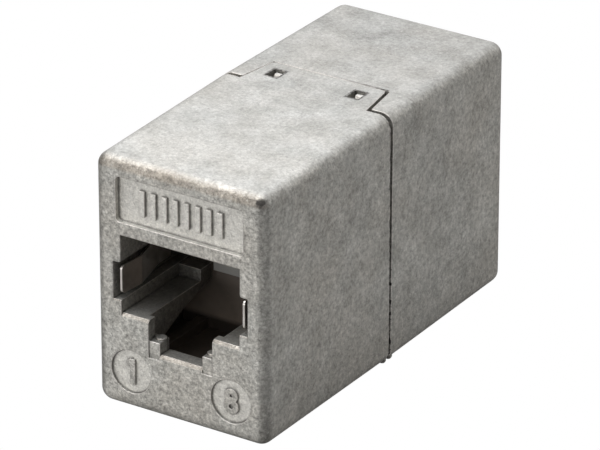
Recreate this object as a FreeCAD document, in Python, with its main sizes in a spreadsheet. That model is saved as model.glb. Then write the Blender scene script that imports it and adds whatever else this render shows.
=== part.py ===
import FreeCAD
import Part

# Inline coupler for two eight-contact network plugs.
#
# Frame: X across the port, Y along the plugs, Z up. The origin is on the base, under the middle of the
# body. The front port faces -Y, the rear port faces +Y, and the two halves meet at Y = 0. A depth is
# measured into a half from its port face. Each half, with all that it holds, is drawn as the front half,
# and the rear one is turned half round about Z.

import math
import os
from types import SimpleNamespace

import Sketcher
from FreeCAD import Placement, Rotation, Vector

SIZES = {
    # body: two castings, each widening a little from its port face to the joint
    "port_width": 11.8,
    "port_height": 7.2,
    "port_floor": 8.83,
    "cheek_width": 2.6,
    "brow_height": 6.97,
    "body_length": 38.0,
    "flare": 0.15,
    "long_edge_radius": 1.2,
    "face_edge_radius": 1.1,
    "front_wall": 1.5,
    "side_wall": 1.6,
    "floor_wall": 2.4,
    "roof_wall": 2.4,
    # port: cheeks beside the plug, ledges under it, channel and notch for its latch
    "cheek_depth": 4.4,
    "lintel_thickness": 1.2,
    "ledge_depth": 8.6,
    "ledge_root": 3.5,
    "ledge_middle": 1.46,
    "ledge_tip": 0.3,
    "ledge_lip": 0.24,
    "rim_height": 1.08,
    "channel_width": 6.4,
    "channel_relief": 0.5,
    "relief_start": 1.0,
    "catch_drop": 1.88,
    "catch_setback": 0.12,
    "catch_foot": 0.47,
    "notch_width": 4.26,
    "notch_drop": 2.93,
    "notch_lip": 0.27,
    "knob_radius": 0.5,
    "knob_proud": 0.06,
    "knob_depth": 1.05,
    "knob_rise": 0.16,
    "knob_round": 0.1,
    "slot_recess": 0.76,
    "slot_rise": 1.18,
    "slot_height": 3.45,
    "slot_corner": 0.25,
    "edge_break": 0.1,
    # plate with eight bars, above the port
    "plate_width": 12.6,
    "plate_height": 4.14,
    "plate_gap": 1.2,
    "plate_sink": 0.5,
    "plate_corner": 0.4,
    "bar_pitch": 1.1,
    "bar_width": 0.5,
    "bar_height": 2.3,
    "bar_relief": 0.25,
    # numbered discs, below the port
    "disc_spacing": 10.0,
    "disc_height": 3.6,
    "disc_radius": 2.0,
    "disc_sink": 0.22,
    "digit_height": 2.36,
    "digit_stroke": 0.5,
    "digit_shift": 0.13,
    "digit_flag": 0.42,
    "digit_flag_drop": 0.32,
    "digit_flag_root": 0.6,
    "digit_crown": 0.64,
    "digit_bowl": 0.72,
    "digit_relief": 0.2,
    # joint of the halves
    "joint_gap": 0.28,
    "joint_taper": 0.2,
    "tongue_width": 12.6,
    "tongue_narrowing": 0.65,
    "tongue_reach": 4.2,
    "tongue_thickness": 1.1,
    "tongue_step": 0.04,
    "tongue_offset": 0.16,
    "tongue_corner": 0.4,
    "tongue_clearance": 0.2,
    "tongue_end_gap": 0.08,
    "window_width": 1.14,
    "window_length": 1.5,
    "window_left": 4.35,
    "window_right": 3.8,
    "window_reach": 2.25,
    "lug_side_gap": 0.08,
    "lug_open_gap": 0.4,
    "lug_end_gap": 0.35,
    "lug_sink": 0.12,
    "lug_flat": 0.35,
    "lug_root": 0.1,
    "flash_radius": 0.34,
    "flash_proud": 0.2,
    # shield springs
    "spring_thickness": 0.2,
    "spring_height": 2.58,
    "spring_start": 0.35,
    "spring_entry": 0.1,
    "spring_bulge": 0.15,
    "spring_bulge_depth": 2.9,
    "spring_foot_length": 1.8,
    "spring_corner": 0.4,
    # insert, board and contacts
    "insert_clearance": 0.1,
    "back_wall_depth": 10.4,
    "latch_floor": 1.2,
    "latch_floor_start": 2.2,
    "rail_height": 0.9,
    "rail_width": 0.95,
    "rail_spacing": 9.35,
    "board_thickness": 1.6,
    "comb_thickness": 0.5,
    "comb_width": 9.0,
    "comb_height": 5.2,
    "comb_tab_width": 6.5,
    "comb_tab_height": 1.0,
    "comb_rise": 0.64,
    "comb_groove": 0.25,
    "contact_pitch": 1.016,
    "contact_width": 0.4,
    "contact_thickness": 0.3,
    "contact_clearance": 0.1,
    "contact_row": 1.15,
    "contact_row_step": 1.3,
    "contact_inset": 0.8,
    "contact_knee": 0.15,
    "contact_fall": 2.8,
    "contact_tip_gap": 0.25,
    "contact_bend": 0.2,
    "hole_clearance": 0.02,
}
CONTACTS = 8
NEAR = 0.0005
HALF_TURN = Placement(Vector(0, 0, 0), Rotation(Vector(0, 0, 1), 180))


class Size:
    # A length that knows both its value and the expression that binds it to the sheet.
    def __init__(self, value, text):
        self.value = value
        self.text = text

    def joined(self, sign, other, value):
        text = other.text if isinstance(other, Size) else repr(float(other))
        return Size(value, f"({self.text} {sign} {text})")

    def __add__(self, other):
        return self.joined("+", other, self.value + number(other))

    def __sub__(self, other):
        return self.joined("-", other, self.value - number(other))

    def __mul__(self, other):
        return self.joined("*", other, self.value * number(other))

    def __truediv__(self, other):
        return self.joined("/", other, self.value / number(other))

    def __neg__(self):
        return Size(-self.value, f"(0 - {self.text})")


def number(size):
    return size.value if isinstance(size, Size) else float(size)


def diagonal(a, b):
    return Size(math.hypot(a.value, b.value), f"sqrt({a.text} ^ 2 + {b.text} ^ 2)")


doc = FreeCAD.newDocument("coupler")
sheet = doc.addObject("Spreadsheet::Sheet", "Dimensions")
for row, (name, value) in enumerate(SIZES.items(), 1):
    sheet.set(f"A{row}", name)
    sheet.set(f"B{row}", str(value))
    sheet.setAlias(f"B{row}", name)
doc.recompute()
s = SimpleNamespace(**{name: Size(value, f"Dimensions.{name}") for name, value in SIZES.items()})

# sizes that follow from the others
front_face = -(s.body_length / 2)
half_gap = s.joint_gap / 2
port_half = s.port_width / 2
port_roof = s.port_floor + s.port_height
body_half = port_half + s.cheek_width
body_top = port_roof + s.brow_height
seam_half = body_half + s.flare
seam_top = body_top + s.flare
cavity_half = body_half - s.side_wall
cavity_roof = body_top - s.roof_wall
ledge_edge = s.channel_width / 2 + s.channel_relief
ledge_end = s.back_wall_depth - s.insert_clearance
channel_half = s.channel_width / 2
notch_half = s.notch_width / 2
catch_top = s.port_floor - s.catch_drop
notch_floor = s.port_floor - s.notch_drop
slot_base = s.port_floor + s.slot_rise
slot_top = slot_base + s.slot_height
slot_half = port_half + s.slot_recess
tongue_half = s.tongue_width / 2
tongue_tip_half = tongue_half - s.tongue_narrowing
recess_depth = s.tongue_step + s.tongue_thickness + s.tongue_end_gap
insert_half = cavity_half - s.insert_clearance
board_face = s.board_thickness / 2
comb_base = s.port_floor + s.comb_rise
latch_base = s.floor_wall + s.latch_floor
comb_front = s.back_wall_depth - s.comb_thickness
nose_depth = s.cheek_depth + s.insert_clearance
slot_start = nose_depth + s.contact_inset - s.contact_clearance


def at(depth):
    # Y of a depth in the half that faces -Y
    return front_face + depth


def bind(thing, prop, size):
    # a plain number has already been given to the constraint or to the plane
    if isinstance(size, Size):
        thing.setExpression(prop, size.text)


def new_body(name, rear=False):
    body = doc.addObject("PartDesign::Body", name)
    body.Label = name
    if rear:
        body.Placement = HALF_TURN
    return body


def new_sketch(body, role, name, offset):
    sketch = body.newObject("Sketcher::SketchObject", name)
    plane = next(plane for plane in body.Origin.OriginFeatures if plane.Role == role)
    sketch.AttachmentSupport = (plane, "")
    sketch.MapMode = "FlatFace"
    bind(sketch, "AttachmentOffset.Base.z", offset)
    return sketch


def front_sketch(body, name, depth):
    # X and Z seen from the port face: the plane's normal points to -Y
    return new_sketch(body, "XZ_Plane", name, -at(depth))


def flat_sketch(body, name, height):
    return new_sketch(body, "XY_Plane", name, height)


def side_sketch(body, name, x):
    return new_sketch(body, "YZ_Plane", name, x)


def constrain(sketch, size, kind, *where):
    index = sketch.addConstraint(Sketcher.Constraint(kind, *where, number(size)))
    bind(sketch, f"Constraints[{index}]", size)


def polygon(sketch, corners):
    first = sketch.GeometryCount
    count = len(corners)
    points = [Vector(number(x), number(y), 0) for x, y in corners]
    for i in range(count):
        sketch.addGeometry(Part.LineSegment(points[i], points[(i + 1) % count]))
    for i, (x, y) in enumerate(corners):
        here = first + i
        sketch.addConstraint(Sketcher.Constraint("Coincident", here, 2, first + (i + 1) % count, 1))
        constrain(sketch, x, "DistanceX", -1, 1, here, 1)
        constrain(sketch, y, "DistanceY", -1, 1, here, 1)


def rectangle(sketch, left, right, low, high):
    polygon(sketch, [(left, low), (right, low), (right, high), (left, high)])


def circle(sketch, x, y, radius):
    here = sketch.GeometryCount
    sketch.addGeometry(Part.Circle(Vector(number(x), number(y), 0), Vector(0, 0, 1), number(radius)))
    constrain(sketch, x, "DistanceX", -1, 1, here, 3)
    constrain(sketch, y, "DistanceY", -1, 1, here, 3)
    constrain(sketch, radius, "Radius", here)


def volume(body):
    return 0.0 if body.Tip is None or body.Tip.Shape.isNull() else body.Tip.Shape.Volume


def pad(body, sketch, length, back=False, both=False):
    before = volume(body)
    feature = body.newObject("PartDesign::Pad", sketch.Name + "Pad")
    feature.Profile = sketch
    bind(feature, "Length", length)
    feature.Reversed = back
    if both:
        feature.SideType = "Symmetric"
    doc.recompute()
    if volume(body) <= before:
        raise RuntimeError(f"{body.Label}: {sketch.Name} adds nothing")
    return feature


def pocket(body, sketch, length=None, back=False, both=False):
    before = volume(body)
    feature = body.newObject("PartDesign::Pocket", sketch.Name + "Pocket")
    feature.Profile = sketch
    if length is None:
        feature.Type = "ThroughAll"
    else:
        bind(feature, "Length", length)
    feature.Reversed = back
    if both:
        feature.SideType = "Symmetric"
    doc.recompute()
    if volume(body) >= before:
        raise RuntimeError(f"{body.Label}: {sketch.Name} cuts nothing")
    return feature


def dress(body, kind, name, size, prop, wanted):
    # fillet or chamfer on the edges of the tip that the test wants
    base = body.Tip
    edges = [f"Edge{i}" for i, edge in enumerate(base.Shape.Edges, 1) if wanted(edge.BoundBox)]
    if not edges:
        raise RuntimeError(f"{body.Label}: {name} finds no edge")
    feature = body.newObject(kind, name)
    feature.Base = (base, edges)
    bind(feature, prop, size)
    doc.recompute()
    if "Invalid" in feature.State:
        raise RuntimeError(f"{body.Label}: {name} fails")
    return feature


def round_edges(body, name, radius, wanted):
    return dress(body, "PartDesign::Fillet", name, radius, "Radius", wanted)


def bevel_edges(body, name, size, wanted):
    return dress(body, "PartDesign::Chamfer", name, size, "Size", wanted)


def near(a, b):
    return abs(a - number(b)) < NEAR


def flat_at(low, high, value):
    return near(low, value) and near(high, value)


def outer_form(body):
    # draught on the top and the sides only, so that the coupler lies flat
    plan = flat_sketch(body, "Plan", 0)
    polygon(plan, [
        (-body_half, front_face), (body_half, front_face), (seam_half, -half_gap), (-seam_half, -half_gap),
    ])
    pad(body, plan, seam_top)
    slope = side_sketch(body, "TopSlope", 0)
    polygon(slope, [(front_face, body_top), (-half_gap, seam_top), (front_face, seam_top)])
    pocket(body, slope, seam_half * 2, both=True)
    round_edges(body, "LongEdges", s.long_edge_radius, lambda box: box.YLength > s.body_length.value / 3)
    round_edges(body, "FaceEdges", s.face_edge_radius, lambda box: flat_at(box.YMin, box.YMax, front_face))


def interior(body):
    joint = -front_face - half_gap
    hall = front_sketch(body, "Hall", s.cheek_depth)
    rectangle(hall, -cavity_half, cavity_half, s.floor_wall, cavity_roof)
    pocket(body, hall, joint - s.cheek_depth)
    cellar = front_sketch(body, "Cellar", s.front_wall)
    rectangle(cellar, -cavity_half, cavity_half, s.floor_wall, s.port_floor - s.ledge_tip)
    pocket(body, cellar, s.cheek_depth - s.front_wall)
    loft = front_sketch(body, "Loft", s.front_wall)
    rectangle(loft, -cavity_half, cavity_half, port_roof + s.lintel_thickness, cavity_roof)
    pocket(body, loft, s.cheek_depth - s.front_wall)
    # each ledge thins towards its end, with a rim beside the plug and one across the end
    wall_middle = cavity_half + s.side_wall / 2
    for side, name in ((-1, "Left"), (1, "Right")):
        shape = side_sketch(body, name + "Ledge", ledge_edge * side)
        polygon(shape, [
            (at(s.front_wall), s.port_floor - s.ledge_root),
            (at((s.front_wall + ledge_end) / 2), s.port_floor - s.ledge_middle),
            (at(ledge_end), s.port_floor - s.ledge_tip),
            (at(ledge_end), s.port_floor + s.rim_height),
            (at(s.ledge_depth), s.port_floor + s.rim_height),
            (at(s.ledge_depth), s.port_floor),
            (at(s.front_wall), s.port_floor),
        ])
        pad(body, shape, wall_middle - ledge_edge, back=side < 0)
        kerb = front_sketch(body, name + "Kerb", s.cheek_depth)
        edges = sorted((port_half * side, wall_middle * side), key=number)
        rectangle(kerb, edges[0], edges[1], s.port_floor - s.ledge_tip, slot_base)
        pad(body, kerb, ledge_end - s.cheek_depth, back=True)


def port(body):
    # seen from the front: the plug's opening with its side slots, and the latch channel below it
    right = [
        (notch_half, notch_floor),
        (notch_half, catch_top),
        (channel_half, catch_top),
        (channel_half, s.port_floor),
        (port_half, s.port_floor),
        (port_half, slot_base),
        (slot_half, slot_base),
        (slot_half, slot_top),
        (port_half, slot_top),
        (port_half, port_roof),
    ]
    opening = front_sketch(body, "PortOpening", 0)
    polygon(opening, right + [(-x, z) for x, z in reversed(right)])
    pocket(body, opening, s.cheek_depth)
    relief = front_sketch(body, "ChannelRelief", s.relief_start)
    rectangle(relief, -ledge_edge, ledge_edge, catch_top, s.port_floor + s.ledge_tip)
    pocket(body, relief, s.cheek_depth - s.relief_start)
    bevel_edges(body, "LedgeLips", s.ledge_lip, lambda box: (
        flat_at(box.YMin, box.YMax, front_face) and flat_at(box.ZMin, box.ZMax, s.port_floor)))
    bevel_edges(body, "NotchLip", s.notch_lip, lambda box: (
        flat_at(box.YMin, box.YMax, front_face) and flat_at(box.ZMin, box.ZMax, notch_floor)))
    round_edges(body, "SlotCorners", s.slot_corner, lambda box: (
        near(box.YLength, s.cheek_depth) and near(abs(box.Center.x), port_half)
        and flat_at(box.ZMin, box.ZMax, slot_top)))
    round_edges(body, "PortEdge", s.edge_break, lambda box: (
        flat_at(box.YMin, box.YMax, front_face) and box.ZMin > slot_base.value - NEAR
        and box.ZMax < port_roof.value + NEAR and abs(box.Center.x) < slot_half.value + NEAR))


def latch_details(body):
    # each catch stands a little behind the port face, with a rounded knob at its back
    for side, name in ((-1, "Left"), (1, "Right")):
        catch = front_sketch(body, name + "Catch", 0)
        edges = sorted((notch_half * side, channel_half * side), key=number)
        rectangle(catch, edges[0], edges[1], notch_floor - s.catch_foot, catch_top)
        pocket(body, catch, s.catch_setback)
        top = catch_top + s.knob_rise
        knob = flat_sketch(body, name + "Knob", notch_floor)
        circle(knob, (notch_half + s.knob_radius - s.knob_proud) * side, at(s.knob_depth), s.knob_radius)
        pad(body, knob, top - notch_floor)
        round_edges(body, name + "KnobTop", s.knob_round, lambda box: (
            flat_at(box.ZMin, box.ZMax, top) and box.Center.x * side > 0))


def plate(body):
    # sunk plate with eight raised bars, one for each contact
    half = s.plate_width / 2
    low = port_roof + s.plate_gap
    middle = low + s.plate_height / 2
    field = front_sketch(body, "Plate", 0)
    rectangle(field, -half, half, low, low + s.plate_height)
    pocket(body, field, s.plate_sink)
    round_edges(body, "PlateCorners", s.plate_corner, lambda box: (
        near(box.YLength, s.plate_sink) and near(abs(box.Center.x), half) and box.ZMin > number(low) - NEAR))
    bars = front_sketch(body, "Bars", s.plate_sink)
    for i in range(CONTACTS):
        x = s.bar_pitch * (i - (CONTACTS - 1) / 2)
        rectangle(bars, x - s.bar_width / 2, x + s.bar_width / 2,
                  middle - s.bar_height / 2, middle + s.bar_height / 2)
    pad(body, bars, s.bar_relief)


def discs(body):
    # 1 marks the side of the first contact, 8 the side of the last
    one = -(s.disc_spacing / 2)
    eight = s.disc_spacing / 2
    for x, name in ((one, "DiscOne"), (eight, "DiscEight")):
        disc = front_sketch(body, name, 0)
        circle(disc, x, s.disc_height, s.disc_radius)
        pocket(body, disc, s.disc_sink)
    low = s.disc_height - s.digit_height / 2
    high = s.disc_height + s.digit_height / 2
    left = one - s.digit_shift
    digit = front_sketch(body, "DigitOne", s.disc_sink)
    polygon(digit, [
        (left, low), (left + s.digit_stroke, low), (left + s.digit_stroke, high), (left, high),
        (left - s.digit_flag, high - s.digit_flag_drop),
        (left - s.digit_flag, high - s.digit_flag_drop - s.digit_stroke),
        (left, high - s.digit_flag_root),
    ])
    pad(body, digit, s.digit_relief)
    bowl = (low + s.digit_bowl, s.digit_bowl, "Bowl")
    crown = (high - s.digit_crown, s.digit_crown, "Crown")
    for z, radius, name in (bowl, crown):
        ring = front_sketch(body, "DigitEight" + name, s.disc_sink)
        circle(ring, eight, z, radius)
        circle(ring, eight, z, radius - s.digit_stroke)
        pad(body, ring, s.digit_relief)


def flash(body, side):
    # a rounded burr left on the lower edge at the joint
    lean = math.sqrt(0.5)
    inset = s.long_edge_radius * (1 - lean) + (s.flash_radius - s.flash_proud) * lean
    burr = body.newObject("PartDesign::AdditiveSphere", "Flash")
    bind(burr, "Radius", s.flash_radius)
    bind(burr, "Placement.Base.x", (seam_half - inset) * side)
    bind(burr, "Placement.Base.y", -half_gap - s.flash_radius)
    bind(burr, "Placement.Base.z", inset)
    doc.recompute()


def tongues(body):
    # a tongue above and one below lie in the other half, with two windows each for its lugs
    right = tongue_half - s.tongue_offset
    left = -tongue_half - s.tongue_offset
    corners = [
        (left, -s.tongue_thickness),
        (right, -s.tongue_thickness),
        (right, half_gap),
        (right - s.tongue_narrowing, s.tongue_reach),
        (left + s.tongue_narrowing, s.tongue_reach),
        (left, half_gap),
    ]
    for name, height, back in (("Upper", seam_top - s.tongue_step, True), ("Lower", s.tongue_step, False)):
        outline = flat_sketch(body, name + "Tongue", height)
        polygon(outline, corners)
        pad(body, outline, s.tongue_thickness, back=back)
    round_edges(body, "TongueCorners", s.tongue_corner, lambda box: (
        flat_at(box.YMin, box.YMax, s.tongue_reach) and near(box.ZLength, s.tongue_thickness)))
    windows = flat_sketch(body, "Windows", seam_top)
    for x in (-s.window_left, s.window_right):
        rectangle(windows, x - s.window_width / 2, x + s.window_width / 2,
                  s.window_reach - s.window_length / 2, s.window_reach + s.window_length / 2)
    pocket(body, windows)


def recesses(body):
    # drawn half round, so X and Y of the tongue change their signs here
    base = tongue_half + s.tongue_clearance
    tip = tongue_tip_half + s.tongue_clearance
    far = -(s.tongue_reach + s.tongue_end_gap)
    corners = [
        (-base, half_gap), (-base, -half_gap), (-tip, far),
        (tip, far), (base, -half_gap), (base, half_gap),
    ]
    for name, height, back in (("Upper", seam_top, False), ("Lower", 0, True)):
        outline = flat_sketch(body, name + "Recess", height)
        polygon(outline, corners)
        pocket(body, outline, recess_depth, back=back)
    taper = side_sketch(body, "JointTaper", 0)
    polygon(taper, [(-half_gap, 0), (-half_gap, seam_top), (-half_gap - s.joint_taper, seam_top)])
    pocket(body, taper, seam_half * 2, both=True)
    lugs(body)


def lugs(body):
    near_end = -(s.window_reach - s.window_length / 2 + s.lug_side_gap)
    far_end = -(s.window_reach + s.window_length / 2 - s.lug_end_gap)
    width = s.window_width - s.lug_side_gap - s.lug_open_gap
    upper = (seam_top - recess_depth, -s.lug_root, seam_top - s.tongue_step - s.lug_sink, "Upper")
    lower = (recess_depth, s.lug_root, s.tongue_step + s.lug_sink, "Lower")
    for base, inward, crest, level in (upper, lower):
        root = base + inward
        for window, name in ((-s.window_left, "Left"), (s.window_right, "Right")):
            # the lug keeps to the right of its window, which is the low X side of this half
            lug = side_sketch(body, f"{level}{name}Lug", -(window + s.window_width / 2 - s.lug_side_gap))
            polygon(lug, [
                (near_end, root), (far_end, root), (far_end, crest),
                (far_end + s.lug_flat, crest), (near_end, base),
            ])
            pad(body, lug, width)


def make_housing(name, rear):
    body = new_body(name, rear)
    outer_form(body)
    interior(body)
    port(body)
    latch_details(body)
    plate(body)
    discs(body)
    flash(body, -1 if rear else 1)
    if rear:
        recesses(body)
    else:
        tongues(body)
    return body


def make_spring(name, rear, side):
    # a leaf that bows into the port and lies against the housing wall with its foot
    body = new_body(name, rear)
    foot = s.ledge_depth - s.spring_foot_length
    inner = [
        (port_half + s.spring_entry, at(s.spring_start)),
        (port_half - s.spring_bulge, at(s.spring_bulge_depth)),
        (cavity_half - s.spring_thickness, at(foot)),
        (cavity_half - s.spring_thickness, at(s.ledge_depth)),
    ]
    outer = [(x + s.spring_thickness, y) for x, y in inner]
    leaf = flat_sketch(body, "Leaf", slot_base + (s.slot_height - s.spring_height) / 2)
    polygon(leaf, [(x * side, y) for x, y in inner + outer[::-1]])
    pad(body, leaf, s.spring_height)
    round_edges(body, "LeafCorners", s.spring_corner, lambda box: (
        flat_at(box.YMin, box.YMax, at(s.spring_start)) and box.XLength > box.ZLength))
    return body


def make_insert(name, rear):
    # back wall, a nose above the plug with a tunnel for each contact, and a floor with two rails
    body = new_body(name, rear)
    back = at(s.back_wall_depth)
    step = slot_top + s.insert_clearance
    profile = side_sketch(body, "Profile", 0)
    polygon(profile, [
        (at(s.latch_floor_start), s.floor_wall), (-board_face, s.floor_wall), (-board_face, cavity_roof),
        (at(nose_depth), cavity_roof), (at(nose_depth), step), (back, step), (back, latch_base),
        (at(s.latch_floor_start), latch_base),
    ])
    pad(body, profile, insert_half * 2, both=True)
    plug = front_sketch(body, "PlugSpace", nose_depth)
    rectangle(plug, -port_half, port_half, slot_top, port_roof)
    pocket(body, plug, s.back_wall_depth - nose_depth)
    rails = front_sketch(body, "Rails", s.latch_floor_start)
    for x in (-(s.rail_spacing / 2), s.rail_spacing / 2):
        rectangle(rails, x - s.rail_width / 2, x + s.rail_width / 2, latch_base, latch_base + s.rail_height)
    pad(body, rails, s.back_wall_depth - s.latch_floor_start, back=True)
    tunnels = front_sketch(body, "Tunnels", slot_start)
    half = s.contact_width / 2 + s.contact_clearance
    for pin in range(1, CONTACTS + 1):
        x = contact_x(pin)
        rectangle(tunnels, x - half, x + half, port_roof - s.contact_clearance, contact_level(pin))
    pocket(body, tunnels, -front_face - board_face - slot_start)
    return body


def contact_x(pin):
    return s.contact_pitch * (pin - (CONTACTS + 1) / 2)


def contact_level(pin):
    # top of a contact's leg: odd contacts lie in the upper row
    level = port_roof + s.contact_row
    return level + s.contact_row_step if pin % 2 else level


def make_contact(name, rear, pin):
    # formed strip: a leg through the board, a web down, and a spring arm back into the port
    body = new_body(name, rear)
    thick = s.contact_thickness
    level = contact_level(pin)
    start = nose_depth + s.contact_inset
    tip = comb_front - s.contact_tip_gap
    knee = port_roof - s.contact_knee
    slope = s.contact_fall / (tip - start)
    arm = diagonal(s.contact_fall, tip - start) / (tip - start) * thick
    strip = side_sketch(body, "Strip", contact_x(pin))
    polygon(strip, [
        (board_face, level), (at(start), level), (at(start), knee), (at(tip), knee - s.contact_fall),
        (at(tip), knee - s.contact_fall + arm), (at(start + thick), knee - slope * thick + arm),
        (at(start + thick), level - thick), (board_face, level - thick),
    ])
    pad(body, strip, s.contact_width, both=True)
    round_edges(body, "Bends", s.contact_bend, lambda box: (
        flat_at(box.YMin, box.YMax, at(start)) and flat_at(box.ZMin, box.ZMax, box.ZMax)
        and box.XLength > box.ZLength))
    return body


def make_comb(name, rear):
    body = new_body(name, rear)
    tab = s.comb_tab_width / 2
    half = s.comb_width / 2
    base = comb_base + s.comb_tab_height
    outline = front_sketch(body, "Outline", comb_front)
    polygon(outline, [
        (-tab, comb_base), (tab, comb_base), (tab, base), (half, base), (half, base + s.comb_height),
        (-half, base + s.comb_height), (-half, base), (-tab, base),
    ])
    pad(body, outline, s.comb_thickness, back=True)
    grooves = front_sketch(body, "Grooves", comb_front)
    wide = s.contact_width / 2 + s.contact_clearance
    for pin in range(1, CONTACTS + 1):
        x = contact_x(pin)
        rectangle(grooves, x - wide, x + wide, base + s.comb_tab_height / 2, base + s.comb_height)
    pocket(body, grooves, s.comb_groove)
    return body


def make_board(name):
    # one row of holes for the odd contacts of both ports, one for the even ones
    body = new_body(name)
    face = new_sketch(body, "XZ_Plane", "Face", 0)
    rectangle(face, -insert_half, insert_half, s.floor_wall, cavity_roof)
    radius = diagonal(s.contact_width, s.contact_thickness) / 2 + s.hole_clearance
    for column in range(1, CONTACTS + 1):
        for pin in (1, 2):
            circle(face, contact_x(column), contact_level(pin) - s.contact_thickness / 2, radius)
    pad(body, face, s.board_thickness, both=True)
    return body


pieces = [make_board("circuit_board")]
for end, rear in (("front", False), ("rear", True)):
    pieces.append(make_housing(f"{end}_housing", rear))
    pieces.append(make_insert(f"{end}_contact_block", rear))
    pieces.append(make_comb(f"{end}_contact_comb", rear))
    for side, hand in ((-1, "left"), (1, "right")):
        pieces.append(make_spring(f"{end}_shield_spring_{hand}", rear, side))
    for pin in range(1, CONTACTS + 1):
        pieces.append(make_contact(f"{end}_contact_{pin}", rear, pin))

doc.recompute()
for thing in doc.Objects:
    if "Invalid" in thing.State or "Error" in thing.State:
        raise RuntimeError(f"{thing.Label} failed: {thing.State}")
for piece in pieces:
    shape = piece.Shape
    if shape.isNull() or not shape.isValid() or len(shape.Solids) != 1:
        raise RuntimeError(f"{piece.Label} is not one valid solid")

os.makedirs("parts", exist_ok=True)
for piece in pieces:
    piece.Shape.exportStep(f"parts/{piece.Label}.step")
    print(f"{piece.Label:28s} {piece.Shape.Volume:9.2f} mm3")
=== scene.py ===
import math

import bmesh
import bpy
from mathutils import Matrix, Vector

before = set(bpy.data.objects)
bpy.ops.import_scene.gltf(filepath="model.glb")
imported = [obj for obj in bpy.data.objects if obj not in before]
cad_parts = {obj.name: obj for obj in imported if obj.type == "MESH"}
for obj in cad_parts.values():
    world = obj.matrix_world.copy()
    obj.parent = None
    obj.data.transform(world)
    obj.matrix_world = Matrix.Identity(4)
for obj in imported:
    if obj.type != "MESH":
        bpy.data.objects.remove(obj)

scene = bpy.context.scene
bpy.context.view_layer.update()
print("frame loaded:", len(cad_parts), "nodes")


def newGroup(name, inputs, outputs):
    group = bpy.data.node_groups.new(name, "ShaderNodeTree")
    for label, value in inputs.items():
        socket = group.interface.new_socket(name=label, in_out="INPUT", socket_type="NodeSocketFloat")
        socket.default_value = value
    for label, kind in outputs.items():
        group.interface.new_socket(name=label, in_out="OUTPUT", socket_type="NodeSocket" + kind)
    return group


def add(tree, kind, **settings):
    node = tree.nodes.new("ShaderNode" + kind)
    for key, value in settings.items():
        if hasattr(node, key):
            setattr(node, key, value)
        else:
            node.inputs[key].default_value = value
    return node


def link(tree, source, target):
    tree.links.new(source, target)


def noise(tree, coords, scale, detail, roughness=0.5):
    node = add(tree, "TexNoise", Detail=detail, Roughness=roughness)
    if isinstance(scale, (int, float)):
        node.inputs["Scale"].default_value = scale
    else:
        link(tree, scale, node.inputs["Scale"])
    link(tree, coords, node.inputs["Vector"])
    return node.outputs["Fac"]


def spread(tree, source, low, high, toLow=0.0, toHigh=1.0):
    # stretches a value between two limits and clamps it
    node = add(tree, "MapRange")
    node.inputs["From Min"].default_value = low
    node.inputs["From Max"].default_value = high
    node.inputs["To Min"].default_value = toLow
    node.inputs["To Max"].default_value = toHigh
    link(tree, source, node.inputs["Value"])
    return node.outputs["Result"]


def calc(tree, operation, a, b=0.0):
    node = add(tree, "Math", operation=operation)
    for socket, value in zip(node.inputs, (a, b)):
        if isinstance(value, (int, float)):
            socket.default_value = value
        else:
            link(tree, value, socket)
    return node.outputs[0]


def times(tree, first, *others):
    for value in others:
        first = calc(tree, "MULTIPLY", first, value)
    return first


def blendColor(tree, factor, a, b, mode="MIX"):
    node = add(tree, "Mix", data_type="RGBA", blend_type=mode)
    for socket, value in ((node.inputs[0], factor), (node.inputs[6], a), (node.inputs[7], b)):
        if isinstance(value, (int, float, tuple)):
            socket.default_value = value
        else:
            link(tree, value, socket)
    return node.outputs[2]


def scaleColor(tree, color, factor):
    node = add(tree, "VectorMath", operation="SCALE")
    link(tree, color, node.inputs[0])
    link(tree, factor, node.inputs["Scale"])
    return node.outputs[0]


def shadeWhere(tree, tone, mask, factor):
    # scales the colour by the factor where the mask is 1
    change = calc(tree, "MULTIPLY", mask, calc(tree, "SUBTRACT", factor, 1.0))
    return scaleColor(tree, tone, calc(tree, "ADD", 1.0, change))


def zone(tree, source, center, reach, soft):
    # 1 within the reach of the centre, falling to 0 over the soft rim
    away = calc(tree, "ABSOLUTE", calc(tree, "SUBTRACT", source, center))
    return spread(tree, away, reach + soft / 2, reach - soft / 2)


def patch(tree, first, second):
    # where two zones meet
    return times(tree, zone(tree, *first), zone(tree, *second))


def newMaterial(name):
    material = bpy.data.materials.new(name)
    material.use_nodes = True
    tree = material.node_tree
    shader = tree.nodes["Principled BSDF"]
    return material, tree, shader


def addRelief(tree, shader, relief, height, normal=None):
    strength, depth = relief
    bump = add(tree, "Bump", Strength=strength, Distance=depth)
    link(tree, height, bump.inputs["Height"])
    if normal is not None:
        link(tree, normal, bump.inputs["Normal"])
    link(tree, bump.outputs["Normal"], shader.inputs["Normal"])


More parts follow.
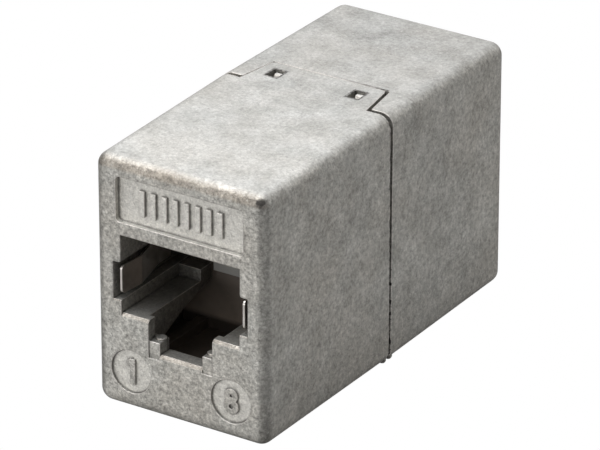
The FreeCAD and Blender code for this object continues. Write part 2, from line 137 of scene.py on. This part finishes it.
cast = {
    "inputs": {"Cloud Scale": 420.0, "Grain Scale": 6000.0, "Speck Scale": 3200.0,
               "Edge Radius": 0.00012, "Grime And Shade Reach": 0.00025},
    "outputs": {"Cloud": "Float", "Stain": "Float", "Grain": "Float", "Fine": "Float", "Dark Specks": "Float",
                "Light Specks": "Float", "Edge": "Float", "Grime And Shade": "Float", "Height": "Float",
                "Soft Normal": "Vector"},
    # detail and roughness of each noise
    "cloud": (4.0, 0.6), "stain": (2.0, 0.5), "grain": (3.0, 0.62), "coarse": (2.0, 0.5),
    "fine": (4.0, 0.78), "specks": (1.0, 0.5),
    "stainShare": 0.42, "coarseShare": 0.33, "fineShare": 0.42,  # of Cloud Scale, Grain Scale, Grain Scale
    "samples": 8, "coarseInGrimeAndShade": 0.3, "coarseInGrain": 0.4, "coarseInHeight": 0.9,
    "grimeAndShadeLimits": (1.05, 0.7), "edgeTurn": (0.985, 0.82), "edgeOpen": (0.8, 0.95),
    "limits": {"Cloud": (0.3, 0.7), "Stain": (0.35, 0.65), "Grain": (0.45, 0.95), "Fine": (0.3, 0.7),
               "Dark Specks": (0.36, 0.28), "Light Specks": (0.66, 0.74)},
}


def makeCastGroup(values):
    # clouds, grain, specks, grime with painted shade in the corners, and worn edges with painted highlights
    group = newGroup("castSurface", values["inputs"], values["outputs"])
    given = group.nodes.new("NodeGroupInput").outputs
    out = group.nodes.new("NodeGroupOutput")
    coords = add(group, "TexCoord").outputs["Object"]
    cloud = noise(group, coords, given["Cloud Scale"], *values["cloud"])
    stainScale = times(group, given["Cloud Scale"], values["stainShare"])
    stain = noise(group, coords, stainScale, *values["stain"])
    grain = noise(group, coords, given["Grain Scale"], *values["grain"])
    coarseScale = times(group, given["Grain Scale"], values["coarseShare"])
    coarse = noise(group, coords, coarseScale, *values["coarse"])
    fineScale = times(group, given["Grain Scale"], values["fineShare"])
    fine = noise(group, coords, fineScale, *values["fine"])
    specks = noise(group, coords, given["Speck Scale"], *values["specks"])
    bevel = add(group, "Bevel", samples=values["samples"])
    link(group, given["Edge Radius"], bevel.inputs["Radius"])
    turn = add(group, "VectorMath", operation="DOT_PRODUCT")  # drops below 1 near an edge
    link(group, bevel.outputs["Normal"], turn.inputs[0])
    link(group, add(group, "NewGeometry").outputs["Normal"], turn.inputs[1])
    hollow = add(group, "AmbientOcclusion", samples=values["samples"], only_local=True)
    link(group, given["Grime And Shade Reach"], hollow.inputs["Distance"])
    # grime with painted shade: darker where the occlusion finds a hollow
    ragged = calc(group, "ADD", hollow.outputs["AO"], times(group, coarse, values["coarseInGrimeAndShade"]))
    mixed = calc(group, "ADD", grain, times(group, coarse, values["coarseInGrain"]))
    results = {
        "Edge": times(group, spread(group, turn.outputs["Value"], *values["edgeTurn"]),
                      spread(group, hollow.outputs["AO"], *values["edgeOpen"])),
        "Grime And Shade": spread(group, ragged, *values["grimeAndShadeLimits"]),
        "Height": calc(group, "ADD", grain, times(group, coarse, values["coarseInHeight"])),
        "Soft Normal": bevel.outputs["Normal"],
    }
    sources = {"Cloud": cloud, "Stain": stain, "Grain": mixed, "Fine": fine,
               "Dark Specks": specks, "Light Specks": specks}
    for label, source in sources.items():
        results[label] = spread(group, source, *values["limits"][label])
    for label, source in results.items():
        link(group, source, out.inputs[label])
    return group


castGroup = makeCastGroup(cast)


def castSurface(tree, values):
    surface = add(tree, "Group", node_tree=castGroup)
    for label, value in values.items():
        surface.inputs[label].default_value = value
    return surface.outputs


zinc = {
    "dark": (0.36, 0.352, 0.335, 1), "light": (0.52, 0.512, 0.495, 1), "warm": (0.50, 0.468, 0.43, 1),
    "wornAndSheen": (0.86, 0.81, 0.77, 1), "grimeAndShade": (0.10, 0.095, 0.088, 1), "sootAndShadow": (0.05, 0.047, 0.044, 1),
    "paintedLugLight": (0.92, 0.9, 0.87, 1), "speck": (0.20, 0.192, 0.18, 1), "glint": (0.74, 0.73, 0.71, 1),
    "pale": (0.66, 0.645, 0.62, 1), "dustAndShade": (0.78, 0.735, 0.695, 1),
    "sideLightTint": (1, 0.995, 0.965, 1), "topLightTint": (0.985, 1, 1.005, 1),
    # how far each of those colours covers the metal
    "cover": {"warm": 0.35, "speck": 0.28, "glint": 0.3, "grimeAndShade": 0.75, "paintedLugLight": 0.3, "sootAndShadow": 0.9},
    "metallic": 0.86, "roughness": (0.42, 0.54), "relief": (0.6, 0.00007),
    "shade": (0.84, 1.16),  # darkest and lightest grain
    "grain": {"all": 0.8, "front": 0.3, "top": 0.35, "pale": 0.6}, "middle": 0.5,
    "facing": (0.6, 0.95),  # limits of the normal's part along an axis, for a face that looks that way
    "front": (1.26, 1.11), "top": (1.16, 0.9), "inner": 0.46,
    "dustAndShadeTurn": (0.2, 0.8), "dustAndShadeRise": (0.03, 0.2),
    "uprightShade": 0.28, "uprightShadeTurn": (0.1, 0.42), "uprightShadeLow": 1.7,
    "ragged": (2600.0, 2.0), "raggedLimits": (0.3, 0.7), "wearAndSheen": (0.35, 0.6, 0.4, 0.95),
    "rimWear": (0.35, 0.55, 0.35, 1.0),
    "surface": {"Cloud Scale": 420.0, "Grain Scale": 6500.0, "Speck Scale": 3400.0,
                "Edge Radius": 0.00014, "Grime And Shade Reach": 0.00028},
}
places = {
    "face": 0.019, "half": 0.011575,  # the end faces along Y, and half the height
    "plateZ": (0.0193, 0.00208), "plateX": 0.0063, "plateSoft": 0.0002,
    "discX": 0.005, "discZ": 0.0036, "discRadius": 0.00196, "discSoft": (0.00005, 0.0001), "discCover": 0.9,
    "sunk": (0.00008, 0.00016), "nearFace": (0.0009, 0.0007),  # depths behind the end face
    "frontZ": (0.004, 0.017), "topY": (-0.016, 0.014), "edgeZ": (0.001, 0.012),
    "port": (0.0073, 0.0097), "portSoft": 0.0004, "portDepth": (0.0085, 0.0006),
    "seamWidth": 0.00009, "seamShares": (0.4, 2.6), "seamSoft": 0.00004, "seamX": (-0.0062, -0.0058),
    "tongue": 0.0064, "tongueSoft": 0.0001, "tongueDepth": (0.0013, 0.0011),
    "tipY": (0.00434, 0.00012, 0.00008), "tipX": 0.0057, "tipSoft": 0.0001, "tipFade": (-0.001, 0.005),
    "windowX": (-0.00435, 0.0038), "windowY": 0.00225, "windowHalf": (0.00057, 0.00075),
    "windowRim": 0.00018, "rimSoft": 0.00012, "lugInset": 0.00005, "lugSoft": 0.00003,
    "skin": 0.0001, "skinShare": 1.2, "lugTop": (0.8, 1.3), "lugDepth": (0.0009, 0.0006),
    "smudge": (0.00788, -0.01873, 0.0224), "smudgeRadius": 0.0005, "smudgeCore": 0.6,
    "smudgeRagged": (-0.00014, 0.00014),
}


def locate(tree):
    coords = add(tree, "TexCoord").outputs["Object"]
    split = add(tree, "SeparateXYZ")
    link(tree, coords, split.inputs[0])
    x, y, z = split.outputs
    return {"coords": coords, "x": x, "y": y, "z": z,
            "absX": calc(tree, "ABSOLUTE", x), "absY": calc(tree, "ABSOLUTE", y)}


def lookAlong(tree, limits):
    # which way each face looks
    split = add(tree, "SeparateXYZ")
    link(tree, add(tree, "TexCoord").outputs["Normal"], split.inputs[0])
    acrossX = calc(tree, "ABSOLUTE", split.outputs["X"])
    alongY = calc(tree, "ABSOLUTE", split.outputs["Y"])
    return {"acrossX": acrossX, "alongY": alongY, "z": split.outputs["Z"],
            "front": spread(tree, alongY, *limits),
            "level": spread(tree, calc(tree, "ABSOLUTE", split.outputs["Z"]), *limits)}


def depthMask(tree, distance, surface, depths):
    # 0 at the first depth under the surface, 1 at the second
    first, second = depths
    return spread(tree, distance, surface - first, surface - second)


def sunkMask(tree, at, places):
    # the sunk plate and the discs
    sunk = depthMask(tree, at["absY"], places["face"], places["sunk"])
    nearFace = depthMask(tree, at["absY"], places["face"], places["nearFace"])
    plate = patch(tree, (at["z"], *places["plateZ"], places["plateSoft"]),
                  (at["absX"], 0.0, places["plateX"], places["plateSoft"]))
    across = calc(tree, "SUBTRACT", at["absX"], places["discX"])
    up = calc(tree, "SUBTRACT", at["z"], places["discZ"])
    away = calc(tree, "SQRT", calc(tree, "ADD", times(tree, across, across), times(tree, up, up)))
    outside, inside = places["discSoft"]
    disc = spread(tree, away, places["discRadius"] + outside, places["discRadius"] - inside,
                  0.0, places["discCover"])
    return times(tree, times(tree, sunk, nearFace), calc(tree, "MAXIMUM", plate, disc))


def grainAndReliefShade(tree, surface, pale, facing, values):
    # grain, with painted shading of its relief that stands out more on the ends, where the light rakes across
    # them, and less on the top; the grain is also weaker in the sunk areas
    reach = calc(tree, "ADD", values["grain"]["all"], times(tree, facing["front"], values["grain"]["front"]))
    reach = calc(tree, "SUBTRACT", reach, times(tree, facing["level"], values["grain"]["top"]))
    reach = times(tree, reach, calc(tree, "SUBTRACT", 1.0, times(tree, pale, values["grain"]["pale"])))
    swing = times(tree, calc(tree, "SUBTRACT", surface["Fine"], values["middle"]), reach)
    return calc(tree, "ADD", 1.0, swing)


def shadeFaces(tree, tone, at, facing, values, places):
    # painted light: each end is lighter, more so low down; painted shade with dust dims the lower half of its
    # top rounding
    paintedFrontLight = spread(tree, at["z"], *places["frontZ"], *values["front"])
    tone = shadeWhere(tree, tone, facing["front"], paintedFrontLight)
    # a warm dust tint that also paints shade over the highlight on the rounding
    dustAndShadeMask = times(tree, spread(tree, facing["alongY"], *values["dustAndShadeTurn"]),
                  spread(tree, facing["z"], *values["dustAndShadeRise"]))
    tone = blendColor(tree, dustAndShadeMask, tone, values["dustAndShade"], "MULTIPLY")
    # painted light: the top and the underside are lighter towards one end than the other
    paintedTopLight = spread(tree, at["y"], *places["topY"], *values["top"])
    tone = shadeWhere(tree, tone, facing["level"], paintedTopLight)
    # painted shade: the walls of the port are darkened, more so towards the inside
    width, height = places["port"]
    within = patch(tree, (at["absX"], 0.0, width, places["portSoft"]),
                   (at["z"], places["half"], height, places["portSoft"]))
    deep, shallow = places["portDepth"]
    paintedPortShade = spread(tree, at["absY"], places["face"] - deep, places["face"] - shallow, values["inner"], 1.0)
    tone = shadeWhere(tree, tone, within, paintedPortShade)
    # painted light colour: faces looking sideways are tinted warmer, the top and underside cooler
    lightTint = blendColor(tree, facing["level"], values["sideLightTint"], values["topLightTint"])
    tone = blendColor(tree, 1.0, tone, lightTint, "MULTIPLY")
    # painted shade: the upright edges between the ends and the sides are darker, more so low down
    corner = spread(tree, times(tree, facing["acrossX"], facing["alongY"]), *values["uprightShadeTurn"])
    corner = times(tree, corner, values["uprightShade"],
                   spread(tree, at["z"], *places["edgeZ"], values["uprightShadeLow"], 1.0))
    return scaleColor(tree, tone, calc(tree, "SUBTRACT", 1.0, corner))


def seamMask(tree, at, lift, ragged, values, places):
    # a ragged line at the joint, except across the tongues and on the left side
    thin, thick = (places["seamWidth"] * share for share in places["seamShares"])
    width = spread(tree, ragged, *values["raggedLimits"], thin, thick)
    seam = spread(tree, calc(tree, "SUBTRACT", at["absY"], width), places["seamSoft"], 0.0)
    tongue = times(tree, zone(tree, at["absX"], 0.0, places["tongue"], places["tongueSoft"]),
                   depthMask(tree, lift, places["half"], places["tongueDepth"]))
    return times(tree, seam, calc(tree, "SUBTRACT", 1.0, tongue), spread(tree, at["x"], *places["seamX"]))


def tongueMasks(tree, at, lift, ragged, values, places):
    # a dark line along the end of each tongue, painted shadow round its windows, and painted light on the
    # lugs inside them
    skin, half = places["skin"], places["half"]
    nearSkin = spread(tree, lift, half - skin * places["skinShare"], half - skin)
    tipLineAndRimShadow = patch(tree, (at["y"], *places["tipY"]), (at["absX"], 0.0, places["tipX"], places["tipSoft"]))
    tipLineAndRimShadow = times(tree, tipLineAndRimShadow, spread(tree, at["x"], *places["tipFade"]))
    lugs = 0.0
    inset, rim = places["lugInset"], places["windowRim"]
    halfX, halfY = places["windowHalf"]
    for center in places["windowX"]:
        inner = patch(tree, (at["x"], center, halfX - inset, places["lugSoft"]),
                      (at["y"], places["windowY"], halfY - inset, places["lugSoft"]))
        outer = patch(tree, (at["x"], center, halfX + rim, places["rimSoft"]),
                      (at["y"], places["windowY"], halfY + rim, places["rimSoft"]))
        tipLineAndRimShadow = calc(tree, "MAXIMUM", tipLineAndRimShadow, outer)
        lugs = calc(tree, "MAXIMUM", lugs, inner)
    tipLineAndRimShadow = times(tree, tipLineAndRimShadow, nearSkin, spread(tree, ragged, *values["rimWear"]))
    above, below = places["lugTop"]
    lugs = times(tree, lugs, spread(tree, lift, half - skin * above, half - skin * below),
                 depthMask(tree, lift, half, places["lugDepth"]))
    return tipLineAndRimShadow, lugs


def smudgeMask(tree, at, ragged, values, places):
    # a rubbed mark on one corner
    offset = add(tree, "VectorMath", operation="DISTANCE")
    link(tree, at["coords"], offset.inputs[0])
    offset.inputs[1].default_value = places["smudge"]
    uneven = spread(tree, ragged, *values["raggedLimits"], *places["smudgeRagged"])
    rim = calc(tree, "ADD", offset.outputs["Value"], uneven)
    return spread(tree, rim, places["smudgeRadius"], places["smudgeRadius"] * places["smudgeCore"])


def makeZinc(values, places):
    material, tree, shader = newMaterial("dieCastZinc")
    surface = castSurface(tree, values["surface"])
    cover = values["cover"]
    at = locate(tree)
    facing = lookAlong(tree, values["facing"])
    pale = sunkMask(tree, at, places)
    tone = blendColor(tree, surface["Cloud"], values["dark"], values["light"])
    tone = blendColor(tree, times(tree, surface["Stain"], cover["warm"]), tone, values["warm"])
    tone = blendColor(tree, pale, tone, values["pale"])
    tone = scaleColor(tree, tone, spread(tree, surface["Grain"], 0.0, 1.0, *values["shade"]))
    tone = scaleColor(tree, tone, grainAndReliefShade(tree, surface, pale, facing, values))
    tone = shadeFaces(tree, tone, at, facing, values, places)
    tone = blendColor(tree, times(tree, surface["Dark Specks"], cover["speck"]), tone, values["speck"])
    tone = blendColor(tree, times(tree, surface["Light Specks"], cover["glint"]), tone, values["glint"])
    ragged = noise(tree, at["coords"], *values["ragged"])
    # worn edges with painted highlights: the convex edges are lightened in ragged patches
    edge = times(tree, surface["Edge"], spread(tree, ragged, *values["wearAndSheen"]))
    tone = blendColor(tree, edge, tone, values["wornAndSheen"])
    # grime with painted shade in the hollows and corners
    tone = blendColor(tree, times(tree, surface["Grime And Shade"], cover["grimeAndShade"]), tone, values["grimeAndShade"])
    lift = calc(tree, "ABSOLUTE", calc(tree, "SUBTRACT", at["z"], places["half"]))  # from mid height
    seam = seamMask(tree, at, lift, ragged, values, places)
    tipLineAndRimShadow, lugs = tongueMasks(tree, at, lift, ragged, values, places)
    smudge = smudgeMask(tree, at, ragged, values, places)
    # painted light on the lugs seen through the windows
    tone = blendColor(tree, times(tree, lugs, cover["paintedLugLight"]), tone, values["paintedLugLight"])
    # dark marks at the seam, the tongue ends and the smudge, with painted shadow round the windows
    dirtAndShadow = calc(tree, "MAXIMUM", calc(tree, "MAXIMUM", seam, tipLineAndRimShadow), smudge)
    tone = blendColor(tree, times(tree, dirtAndShadow, cover["sootAndShadow"]), tone, values["sootAndShadow"])
    link(tree, tone, shader.inputs["Base Color"])
    shader.inputs["Metallic"].default_value = values["metallic"]
    low, high = values["roughness"]
    link(tree, spread(tree, surface["Cloud"], 0.0, 1.0, high, low), shader.inputs["Roughness"])
    addRelief(tree, shader, values["relief"], surface["Height"], surface["Soft Normal"])
    return material


plastics = {
    "blockPlastic": {
        "dark": (0.24, 0.198, 0.165, 1), "light": (0.32, 0.264, 0.221, 1), "edge": (0.40, 0.35, 0.31, 1),
        "rough": (0.42, 0.6), "floor": (0.0045, 0.0050, 0.2, 1.0), "wall": (0.0050, 0.0080, 1.4, 0.5),
        "edgeHighlightCover": 0.5, "grimeAndShadeCover": 0.4, "relief": (0.4, 0.00001),
        "surface": {"Cloud Scale": 300.0, "Grain Scale": 9000.0, "Speck Scale": 5000.0,
                    "Edge Radius": 0.0001, "Grime And Shade Reach": 0.0003},
    },
    "combPlastic": {
        "dark": (0.27, 0.265, 0.25, 1), "light": (0.35, 0.345, 0.33, 1), "edge": (0.44, 0.43, 0.42, 1),
        "rough": (0.38, 0.55), "floor": (0.008, 0.009, 0.9, 1.0), "wall": (0.010, 0.016, 1.0, 0.95),
        "edgeHighlightCover": 0.5, "grimeAndShadeCover": 0.4, "relief": (0.4, 0.00001),
        "surface": {"Cloud Scale": 350.0, "Grain Scale": 9000.0, "Speck Scale": 5000.0,
                    "Edge Radius": 0.00008, "Grime And Shade Reach": 0.0003},
    },
}


def makePlastic(name, values):
    material, tree, shader = newMaterial(name)
    surface = castSurface(tree, values["surface"])
    tone = blendColor(tree, surface["Cloud"], values["dark"], values["light"])
    # painted highlights along the edges
    tone = blendColor(tree, times(tree, surface["Edge"], values["edgeHighlightCover"]), tone, values["edge"])
    # grime with painted shade in the hollows, in the dark plastic colour
    tone = blendColor(tree, times(tree, surface["Grime And Shade"], values["grimeAndShadeCover"]), tone, values["dark"])
    # painted shade: the floor of the insert is darker than the wall above it, and the wall darkens upwards
    split = add(tree, "SeparateXYZ")
    link(tree, add(tree, "TexCoord").outputs["Object"], split.inputs[0])
    floor = spread(tree, split.outputs["Z"], *values["floor"])
    wall = spread(tree, split.outputs["Z"], *values["wall"])
    tone = scaleColor(tree, tone, times(tree, floor, wall))
    link(tree, tone, shader.inputs["Base Color"])
    link(tree, spread(tree, surface["Grain"], 0.0, 1.0, *values["rough"]), shader.inputs["Roughness"])
    addRelief(tree, shader, values["relief"], surface["Height"], surface["Soft Normal"])
    return material


sheets = {
    "springSheet": {"dark": (0.66, 0.62, 0.58, 1), "light": (0.78, 0.74, 0.70, 1), "rough": (0.30, 0.36)},
    "contactGold": {"dark": (0.70, 0.47, 0.17, 1), "light": (0.95, 0.72, 0.34, 1), "rough": (0.16, 0.32)},
}
rolling = {
    "stretch": (6000, 250, 6000), "lines": (1.0, 3.0), "lineLimits": (0.3, 0.7),
    "blotch": (900.0, 3.0), "blotchLimits": (0.35, 0.65),
    "samples": 8, "edgeRadius": 0.00005, "relief": (0.1, 0.000001),
}


def makeSheet(name, values, rolling):
    # rolled strip: fine lines along Y
    material, tree, shader = newMaterial(name)
    coords = add(tree, "TexCoord").outputs["Object"]
    mapping = add(tree, "Mapping", Scale=rolling["stretch"])
    link(tree, coords, mapping.inputs["Vector"])
    lines = noise(tree, mapping.outputs["Vector"], *rolling["lines"])
    blotch = noise(tree, coords, *rolling["blotch"])
    tone = blendColor(tree, spread(tree, blotch, *rolling["blotchLimits"]), values["dark"], values["light"])
    link(tree, tone, shader.inputs["Base Color"])
    shader.inputs["Metallic"].default_value = 1.0
    rough = spread(tree, lines, *rolling["lineLimits"], *values["rough"])
    link(tree, rough, shader.inputs["Roughness"])
    bevel = add(tree, "Bevel", samples=rolling["samples"], Radius=rolling["edgeRadius"])
    addRelief(tree, shader, rolling["relief"], lines, bevel.outputs["Normal"])
    return material


boardLook = {
    "mask": (0.02, 0.11, 0.045, 1), "glass": (0.05, 0.19, 0.08, 1), "weave": 4800.0,
    "patch": (300.0, 3.0), "patchLimits": (0.3, 0.7), "rough": (0.3, 0.45), "relief": (0.3, 0.00001),
}


def makeBoard(values):
    material, tree, shader = newMaterial("solderMask")
    coords = add(tree, "TexCoord").outputs["Object"]
    split = add(tree, "SeparateXYZ")
    link(tree, coords, split.inputs[0])
    across = calc(tree, "SINE", times(tree, split.outputs["X"], values["weave"]))
    along = calc(tree, "SINE", times(tree, split.outputs["Z"], values["weave"]))
    weave = spread(tree, times(tree, across, along), -1.0, 1.0)
    cloth = noise(tree, coords, *values["patch"])
    shown = times(tree, weave, spread(tree, cloth, *values["patchLimits"]))
    tone = blendColor(tree, shown, values["mask"], values["glass"])
    link(tree, tone, shader.inputs["Base Color"])
    link(tree, spread(tree, cloth, *values["patchLimits"], *values["rough"]), shader.inputs["Roughness"])
    addRelief(tree, shader, values["relief"], weave)
    return material


zincMaterial = makeZinc(zinc, places)
blockMaterial = makePlastic("blockPlastic", plastics["blockPlastic"])
combMaterial = makePlastic("combPlastic", plastics["combPlastic"])
springMaterial = makeSheet("springSheet", sheets["springSheet"], rolling)
goldMaterial = makeSheet("contactGold", sheets["contactGold"], rolling)
boardMaterial = makeBoard(boardLook)


def materialFor(name):
    if "housing" in name:
        return zincMaterial
    if "block" in name:
        return blockMaterial
    if "comb" in name:
        return combMaterial
    if "spring" in name:
        return springMaterial
    if "board" in name:
        return boardMaterial
    return goldMaterial


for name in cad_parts:
    piece = bpy.data.objects[name]
    piece.data.materials.clear()
    piece.data.materials.append(materialFor(name))
print("materials set on", len(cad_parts), "nodes")

stage = {"size": 3.0, "color": (0.35, 0.35, 0.35, 1), "rough": 0.8, "seen": (1, 1, 1, 1), "seenStrength": 1.0}


def makeFloor(values):
    mesh = bpy.data.meshes.new("floor")
    form = bmesh.new()
    bmesh.ops.create_grid(form, x_segments=1, y_segments=1, size=values["size"] / 2)
    form.to_mesh(mesh)
    form.free()
    floor = bpy.data.objects.new("floor", mesh)
    scene.collection.objects.link(floor)
    material, tree, shader = newMaterial("paleFloor")
    shader.inputs["Base Color"].default_value = values["color"]
    shader.inputs["Roughness"].default_value = values["rough"]
    # lights the coupler as a grey floor, and shows as white
    glow = add(tree, "Emission", Color=values["seen"], Strength=values["seenStrength"])
    mix = add(tree, "MixShader")
    link(tree, add(tree, "LightPath").outputs["Is Camera Ray"], mix.inputs[0])
    link(tree, shader.outputs[0], mix.inputs[1])
    link(tree, glow.outputs[0], mix.inputs[2])
    link(tree, mix.outputs[0], tree.nodes["Material Output"].inputs["Surface"])
    mesh.materials.append(material)


makeFloor(stage)

lights = {
    "topBox": {"at": (0, 0.05, 0.5), "size": 0.35, "power": 1.5},
    "backLowBox": {"at": (-0.27, 0.42, 0.24), "size": 0.3, "power": 0.37},
    "backBox": {"at": (0.1, 0.45, 0.3), "size": 0.3, "power": 0.2},
    "rightBox": {"at": (0.45, 0, 0.35), "size": 0.3, "power": 0.1},
    "frontLowBox": {"at": (-0.15, -0.5, 0.08), "size": 0.15, "power": 0.47},
    "edgeBox": {"at": (-0.04, -0.06, 0.14), "size": 0.08, "power": 0.11},
}
lightTarget = (0, 0, 0.01)


def makeLight(name, values):
    data = bpy.data.lights.new(name, "AREA")
    data.size = values["size"]
    data.energy = values["power"]
    lamp = bpy.data.objects.new(name, data)
    lamp.location = values["at"]
    aim = Vector(lightTarget) - lamp.location
    lamp.rotation_euler = aim.to_track_quat("-Z", "Y").to_euler()
    scene.collection.objects.link(lamp)


for name, values in lights.items():
    makeLight(name, values)

surround = {"color": (1, 1, 1, 1), "strength": 0.45}


def makeWorld(values):
    world = bpy.data.worlds.new("studio")
    world.use_nodes = True
    background = world.node_tree.nodes["Background"]
    background.inputs["Color"].default_value = values["color"]
    background.inputs["Strength"].default_value = values["strength"]
    scene.world = world
    scene.view_settings.view_transform = "Standard"


makeWorld(surround)

camera = {
    "location": (0.216476, -0.336043, 0.203171), "heading": 0.573231, "drop": 0.448448,
    "lens": 312, "sensor": 36, "near": 0.01, "far": 10,
}


def makeCamera(values):
    data = bpy.data.cameras.new("camera")
    data.lens = values["lens"]
    data.sensor_width = values["sensor"]
    data.clip_start = values["near"]
    data.clip_end = values["far"]
    shot = bpy.data.objects.new("camera", data)
    shot.location = values["location"]
    shot.rotation_euler = (math.pi / 2 - values["drop"], 0, values["heading"])
    scene.collection.objects.link(shot)
    scene.camera = shot


makeCamera(camera)
print("stage, lights and camera set")
